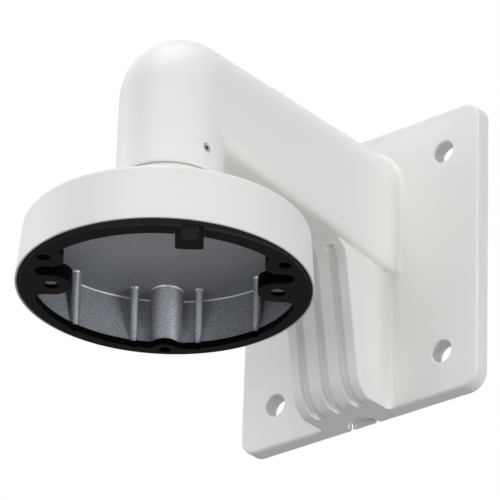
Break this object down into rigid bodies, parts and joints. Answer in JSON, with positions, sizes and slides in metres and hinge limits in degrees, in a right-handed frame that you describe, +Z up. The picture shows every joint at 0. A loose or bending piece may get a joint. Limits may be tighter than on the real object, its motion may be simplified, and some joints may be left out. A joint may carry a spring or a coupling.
{
  "type": "camera wall bracket",
  "caption": "White cast wall bracket for a dome camera: wall plate with a grooved gusset, rounded arm and collar, and a round cap with a black moulded ring.",
  "frame": {"origin": "centre of the four wall holes, on the back face of the wall plate", "axes": "+Y into the wall, +Z up, +X to the right seen from the front"},
  "size_m": [0.126, 0.1905, 0.1334],
  "materials": {
    "white_casting": "white powder coat on die-cast aluminium",
    "black_plastic": "satin black moulding",
    "screw_steel": "plain stainless steel"
  },
  "bodies": {
    "root": {"wall_bracket": "white_casting", "pendant_cap": "white_casting", "mounting_ring": "black_plastic", "collar_grub_screw": "screw_steel"}
  },
  "joints": []
}
